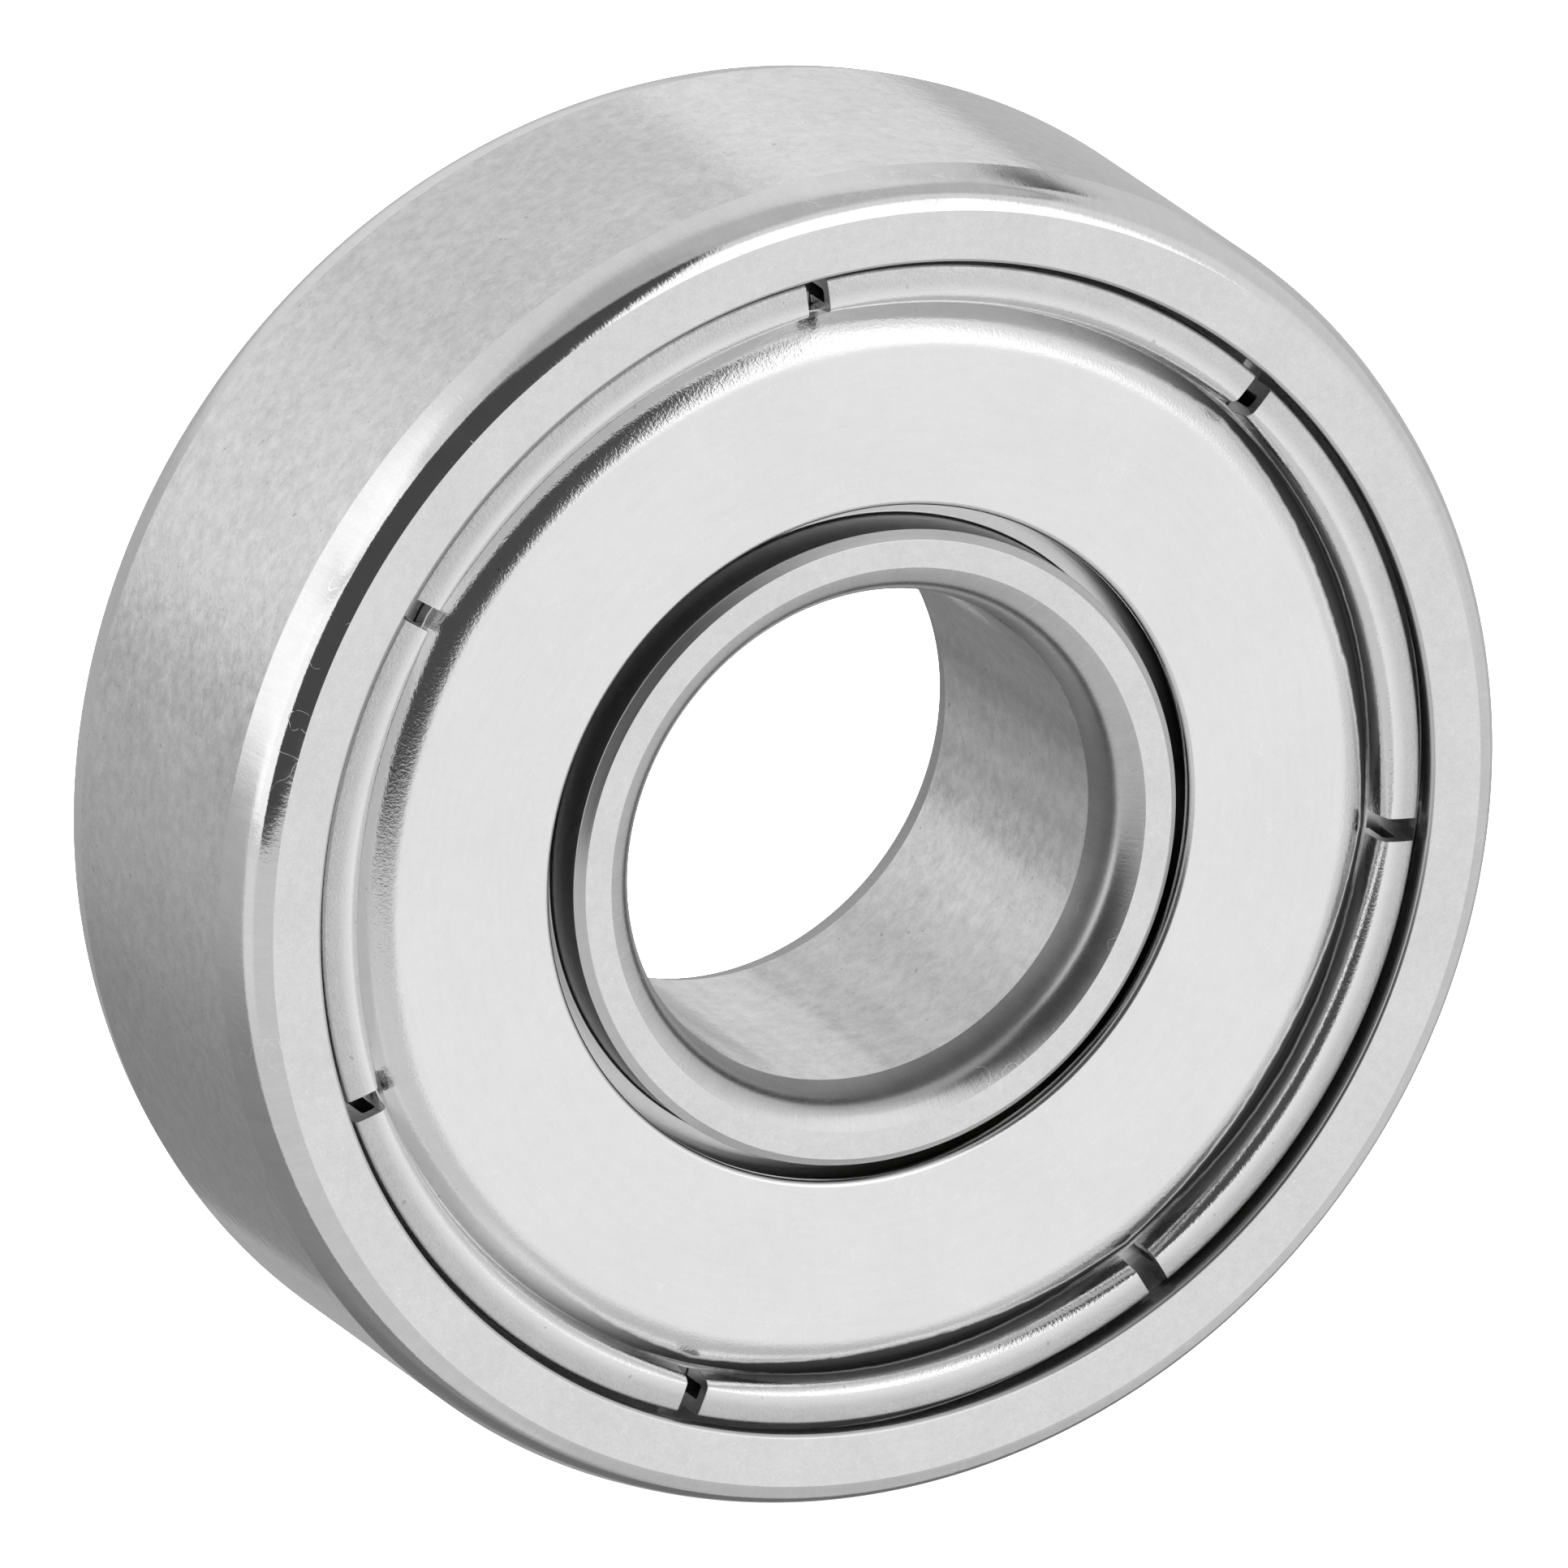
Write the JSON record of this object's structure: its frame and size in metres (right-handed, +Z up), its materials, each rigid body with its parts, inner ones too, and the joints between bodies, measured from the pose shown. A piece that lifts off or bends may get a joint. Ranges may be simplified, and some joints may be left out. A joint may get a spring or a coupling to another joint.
{
  "type": "ball bearing",
  "caption": "Small deep-groove ball bearing with pressed steel shields on both sides, for a round shaft in a bored housing.",
  "frame": {"origin": "centre of the bearing, on its axis and midway between its two faces", "axes": "+Y along the bearing's axis, from the front face to the back face; the front face looks along -Y; +Z is up as it stands on its rim"},
  "size_m": [0.019, 0.006, 0.019],
  "materials": {
    "ring_steel": "ground and lapped bearing steel with fine scratches",
    "shield_steel": "satin cold-rolled sheet",
    "cage_steel": "pressed sheet, dull",
    "ball_steel": "mirror polished",
    "rivet_steel": "plain drawn wire"
  },
  "bodies": {
    "outer": {"outer_ring": "ring_steel", "shield_front": "shield_steel", "shield_back": "shield_steel"},
    "inner": {"inner_ring": "ring_steel"},
    "cage": {"cage_front": "cage_steel", "cage_back": "cage_steel", "rivet_1": "rivet_steel", "rivet_2": "rivet_steel", "rivet_3": "rivet_steel", "rivet_4": "rivet_steel", "rivet_5": "rivet_steel", "rivet_6": "rivet_steel"},
    "rolling_ball_1": {"ball_1": "ball_steel"},
    "rolling_ball_2": {"ball_2": "ball_steel"},
    "rolling_ball_3": {"ball_3": "ball_steel"},
    "rolling_ball_4": {"ball_4": "ball_steel"},
    "rolling_ball_5": {"ball_5": "ball_steel"},
    "rolling_ball_6": {"ball_6": "ball_steel"}
  },
  "joints": [
    {"name": "inner_spin", "type": "hinge", "parent": "outer", "child": "inner", "pos_m": [0, 0, 0], "axis": [0, 1, 0], "continuous": true},
    {"name": "cage_spin", "type": "hinge", "parent": "outer", "child": "cage", "pos_m": [0, 0, 0], "axis": [0, 1, 0], "continuous": true},
    {"name": "ball_1_roll", "type": "hinge", "parent": "cage", "child": "rolling_ball_1", "pos_m": [0, 0, 0.0065], "axis": [0, 1, 0], "continuous": true},
    {"name": "ball_2_roll", "type": "hinge", "parent": "cage", "child": "rolling_ball_2", "pos_m": [-0.00563, 0, 0.00325], "axis": [0, 1, 0], "continuous": true},
    {"name": "ball_3_roll", "type": "hinge", "parent": "cage", "child": "rolling_ball_3", "pos_m": [-0.00563, 0, -0.00325], "axis": [0, 1, 0], "continuous": true},
    {"name": "ball_4_roll", "type": "hinge", "parent": "cage", "child": "rolling_ball_4", "pos_m": [0, 0, -0.0065], "axis": [0, 1, 0], "continuous": true},
    {"name": "ball_5_roll", "type": "hinge", "parent": "cage", "child": "rolling_ball_5", "pos_m": [0.00563, 0, -0.00325], "axis": [0, 1, 0], "continuous": true},
    {"name": "ball_6_roll", "type": "hinge", "parent": "cage", "child": "rolling_ball_6", "pos_m": [0.00563, 0, 0.00325], "axis": [0, 1, 0], "continuous": true}
  ],
  "couplings": [
    {"joint": "cage_spin", "follows": "inner_spin", "ratio": 0.36539},
    {"joint": "ball_1_roll", "follows": "inner_spin", "ratio": -1.7225},
    {"joint": "ball_2_roll", "follows": "inner_spin", "ratio": -1.7225},
    {"joint": "ball_3_roll", "follows": "inner_spin", "ratio": -1.7225},
    {"joint": "ball_4_roll", "follows": "inner_spin", "ratio": -1.7225},
    {"joint": "ball_5_roll", "follows": "inner_spin", "ratio": -1.7225},
    {"joint": "ball_6_roll", "follows": "inner_spin", "ratio": -1.7225}
  ]
}
